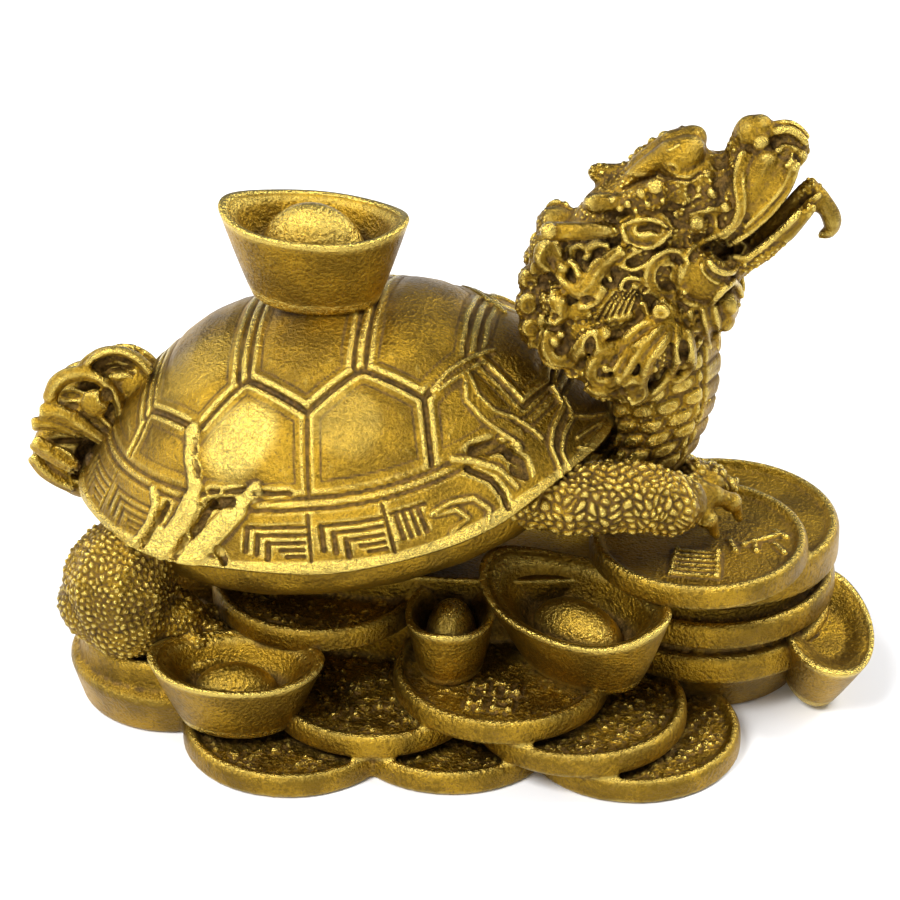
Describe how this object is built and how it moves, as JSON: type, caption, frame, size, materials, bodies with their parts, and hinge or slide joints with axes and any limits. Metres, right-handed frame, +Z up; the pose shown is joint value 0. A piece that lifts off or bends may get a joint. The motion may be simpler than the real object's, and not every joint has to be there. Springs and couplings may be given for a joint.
{
  "type": "dragon turtle figure",
  "caption": "Small cast brass figure of a turtle with a raised dragon's head, a boat-shaped ingot on its shell, standing on a heap of round coins and ingots.",
  "frame": {"origin": "on the flat underside, below the middle of the heap of coins", "axes": "+X the way the turtle looks, +Z up, -Y the side that the picture shows"},
  "size_m": [0.0966, 0.0602, 0.0703],
  "materials": {
    "brass": "cast brass, sandy satin with filed bright rims and dark brown patina in the recesses"
  },
  "bodies": {
    "root": {"dragon_turtle": "brass"}
  },
  "joints": []
}
